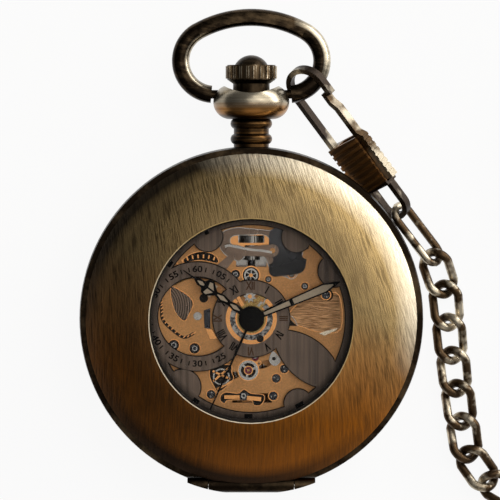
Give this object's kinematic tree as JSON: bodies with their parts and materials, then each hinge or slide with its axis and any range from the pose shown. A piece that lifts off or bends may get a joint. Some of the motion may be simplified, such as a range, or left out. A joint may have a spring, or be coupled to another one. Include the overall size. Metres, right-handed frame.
{
  "type": "pocket watch",
  "caption": "Half-hunter pocket watch with a hinged windowed lid, an open-worked dial over a hand-wound movement, a fluted crown, an oval bow and a curb chain with a clasp.",
  "frame": {"origin": "centre of the flat back of the case, on the table", "axes": "+Z out of the dial, +Y from the dial's centre towards the crown, +X to three o'clock"},
  "size_m": [0.0987, 0.0719, 0.0135],
  "materials": {
    "bronze": "brushed antique bronze",
    "dark_bronze": "dark antique bronze",
    "steel": "satin steel",
    "dark_steel": "blackened steel",
    "copper": "sandblasted, copper coloured",
    "gear_brass": "polished brass",
    "dial_grey": "brushed grey-brown",
    "hand_black": "black lacquered steel",
    "crystal": "clear mineral glass",
    "blue_steel": "blued spring steel",
    "ruby": "synthetic ruby"
  },
  "bodies": {
    "case": {"case_middle": "dark_bronze", "case_back": "bronze", "movement_ring": "gear_brass", "inner_bezel": "bronze", "dial_crystal": "crystal", "hinge_pin": "steel", "lid_lift_spring": "steel", "lid_lock_spring": "steel", "pendant": "dark_bronze", "mainplate": "copper", "keyless_cover": "dark_steel", "click_spring": "steel", "pallet_bridge": "copper", "hairspring": "blue_steel", "balance_cock": "copper", "train_bridge": "copper", "barrel_bridge": "copper", "dial": "dial_grey", "screws": "steel", "jewels": "ruby"},
    "lid": {"front_lid": "bronze", "lid_crystal": "crystal"},
    "bow": {"bow": "dark_bronze"},
    "stem": {"winding_stem": "steel", "winding_pinion": "steel"},
    "crown": {"crown": "dark_bronze"},
    "clutch": {"sliding_pinion": "steel"},
    "setting_lever": {"setting_lever": "steel"},
    "yoke": {"yoke": "steel"},
    "crown_wheel": {"crown_wheel": "steel"},
    "ratchet": {"ratchet_wheel": "steel", "barrel_arbor": "steel"},
    "click": {"click": "steel"},
    "barrel": {"barrel": "gear_brass", "mainspring": "steel"},
    "centre_wheel": {"centre_wheel": "gear_brass"},
    "third_wheel": {"third_wheel": "gear_brass"},
    "seconds": {"fourth_wheel": "gear_brass", "second_hand": "hand_black"},
    "escape_wheel": {"escape_wheel": "steel"},
    "pallet_fork": {"pallet_fork": "steel"},
    "balance": {"balance_wheel": "gear_brass"},
    "minute": {"cannon_pinion": "steel", "minute_hand": "hand_black"},
    "minute_wheel": {"minute_wheel": "gear_brass"},
    "hour": {"hour_wheel": "gear_brass", "hour_hand": "hand_black"},
    "clasp": {"clasp_body": "dark_bronze"},
    "clasp_lever": {"clasp_lever": "bronze"},
    "chain_ring": {"chain_ring": "dark_bronze"},
    "link_1": {"chain_link_1": "dark_bronze"},
    "link_2": {"chain_link_2": "dark_bronze"},
    "link_3": {"chain_link_3": "dark_bronze"},
    "link_4": {"chain_link_4": "dark_bronze"},
    "link_5": {"chain_link_5": "dark_bronze"},
    "link_6": {"chain_link_6": "dark_bronze"},
    "tail": {"chain_tail": "dark_bronze"},
    "bar": {"t_bar": "dark_bronze"}
  },
  "joints": [
    {"name": "lid_hinge", "type": "hinge", "parent": "case", "child": "lid", "pos_m": [0, -0.0226, 0.00875], "axis": [1, 0, 0], "range_deg": [0, 100]},
    {"name": "bow_swing", "type": "hinge", "parent": "case", "child": "bow", "pos_m": [0, 0.0306, 0.0055], "axis": [1, 0, 0], "range_deg": [0, 85]},
    {"name": "stem_turn", "type": "hinge", "parent": "case", "child": "stem", "pos_m": [0, 0.02, 0.0055], "axis": [0, 1, 0], "continuous": true},
    {"name": "crown_press", "type": "slide", "parent": "stem", "child": "crown", "axis": [0, 1, 0], "range_m": [-0.0007, 0.0008]},
    {"name": "clutch_slide", "type": "slide", "parent": "stem", "child": "clutch", "axis": [0, 1, 0], "range_m": [-0.0007, 0]},
    {"name": "setting_lever_turn", "type": "hinge", "parent": "case", "child": "setting_lever", "pos_m": [0.0029, 0.0093, 0.007], "axis": [0, 0, 1], "range_deg": [-0.5, 7.5]},
    {"name": "yoke_turn", "type": "hinge", "parent": "case", "child": "yoke", "pos_m": [-0.0046, 0.0064, 0.0062], "axis": [0, 0, 1], "range_deg": [-12, 1]},
    {"name": "crown_wheel_turn", "type": "hinge", "parent": "case", "child": "crown_wheel", "pos_m": [0, 0.0079, 0.002], "axis": [0, 0, 1], "continuous": true},
    {"name": "ratchet_turn", "type": "hinge", "parent": "case", "child": "ratchet", "pos_m": [-0.00735, 0.0003, 0.002], "axis": [0, 0, 1], "continuous": true},
    {"name": "click_turn", "type": "hinge", "parent": "case", "child": "click", "pos_m": [-0.0086, 0.0072, 0.0019], "axis": [0, 0, 1], "range_deg": [-6, 0]},
    {"name": "barrel_turn", "type": "hinge", "parent": "case", "child": "barrel", "pos_m": [-0.00735, 0.0003, 0.004], "axis": [0, 0, 1], "continuous": true},
    {"name": "centre_turn", "type": "hinge", "parent": "case", "child": "centre_wheel", "pos_m": [0, 0, 0.0045], "axis": [0, 0, 1], "continuous": true},
    {"name": "third_turn", "type": "hinge", "parent": "case", "child": "third_wheel", "pos_m": [0.00414, 0, 0.004], "axis": [0, 0, 1], "continuous": true},
    {"name": "seconds_turn", "type": "hinge", "parent": "case", "child": "seconds", "pos_m": [0, 0, 0.004], "axis": [0, 0, 1], "continuous": true},
    {"name": "escape_turn", "type": "hinge", "parent": "case", "child": "escape_wheel", "pos_m": [0.00138, -0.0038, 0.004], "axis": [0, 0, 1], "continuous": true},
    {"name": "pallet_rock", "type": "hinge", "parent": "case", "child": "pallet_fork", "pos_m": [0.00055, -0.00534, 0.004], "axis": [0, 0, 1], "range_deg": [-5, 5]},
    {"name": "balance_swing", "type": "hinge", "parent": "case", "child": "balance", "pos_m": [-0.0004, -0.0071, 0.004], "axis": [0, 0, 1], "range_deg": [-220, 220]},
    {"name": "minute_turn", "type": "hinge", "parent": "case", "child": "minute", "pos_m": [0, 0, 0.008], "axis": [0, 0, 1], "continuous": true},
    {"name": "minute_wheel_turn", "type": "hinge", "parent": "case", "child": "minute_wheel", "pos_m": [0.00144, 0.00249, 0.0063], "axis": [0, 0, 1], "continuous": true},
    {"name": "hour_turn", "type": "hinge", "parent": "case", "child": "hour", "pos_m": [0, 0, 0.007], "axis": [0, 0, 1], "continuous": true},
    {"name": "clasp_swing", "type": "hinge", "parent": "bow", "child": "clasp", "pos_m": [0.0078, 0.03149, 0.0055], "axis": [0.8018, 0.5976, 0], "range_deg": [0, 18]},
    {"name": "clasp_gate", "type": "hinge", "parent": "clasp", "child": "clasp_lever", "pos_m": [0.01772, 0.01972, 0.00421], "axis": [0.5067, 0.5034, -0.6999], "range_deg": [-7, 0]},
    {"name": "ring_swing", "type": "hinge", "parent": "clasp", "child": "chain_ring", "pos_m": [0.02075, 0.01412, 0.00238], "axis": [0.7951, 0.6065, 0], "range_deg": [-6, 6]},
    {"name": "link_1_bend", "type": "hinge", "parent": "chain_ring", "child": "link_1", "pos_m": [0.02486, 0.00858, 0.0015], "axis": [0.866, 0.5, 0], "range_deg": [-6, 6]},
    {"name": "link_2_bend", "type": "hinge", "parent": "link_1", "child": "link_2", "pos_m": [0.02646, 0.0038, 0.0015], "axis": [0.9721, 0.2345, 0], "range_deg": [-10, 10]},
    {"name": "link_3_bend", "type": "hinge", "parent": "link_2", "child": "link_3", "pos_m": [0.02713, -0.00075, 0.0015], "axis": [0.9937, 0.1119, 0], "range_deg": [-10, 10]},
    {"name": "link_4_bend", "type": "hinge", "parent": "link_3", "child": "link_4", "pos_m": [0.02768, -0.00531, 0.0015], "axis": [0.9916, 0.1296, 0], "range_deg": [-10, 10]},
    {"name": "link_5_bend", "type": "hinge", "parent": "link_4", "child": "link_5", "pos_m": [0.02832, -0.00987, 0.0015], "axis": [0.9891, 0.1472, 0], "range_deg": [-10, 10]},
    {"name": "link_6_bend", "type": "hinge", "parent": "link_5", "child": "link_6", "pos_m": [0.02904, -0.01441, 0.0015], "axis": [0.9863, 0.1649, 0], "range_deg": [-10, 10]},
    {"name": "tail_bend", "type": "hinge", "parent": "link_6", "child": "tail", "pos_m": [0.03008, -0.01888, 0.0015], "axis": [0.9195, 0.393, 0], "range_deg": [-8, 8]},
    {"name": "bar_swing", "type": "hinge", "parent": "tail", "child": "bar", "pos_m": [0.0602, -0.00008, 0.0015], "axis": [-1, 0, 0], "range_deg": [-10, 10]}
  ],
  "couplings": [
    {"joint": "crown_wheel_turn", "follows": "stem_turn", "ratio": 0.625},
    {"joint": "ratchet_turn", "follows": "stem_turn", "ratio": -0.55288},
    {"joint": "yoke_turn", "follows": "clutch_slide", "rad_per_m": 244.35},
    {"joint": "setting_lever_turn", "follows": "clutch_slide", "rad_per_m": -174.53},
    {"joint": "minute_wheel_turn", "follows": "minute_turn", "ratio": -0.33333},
    {"joint": "hour_turn", "follows": "minute_turn", "ratio": 0.083333},
    {"joint": "third_turn", "follows": "seconds_turn", "ratio": -0.13333},
    {"joint": "centre_turn", "follows": "seconds_turn", "ratio": 0.016667},
    {"joint": "escape_turn", "follows": "seconds_turn", "ratio": -10},
    {"joint": "barrel_turn", "follows": "seconds_turn", "ratio": -0.0020833}
  ]
}
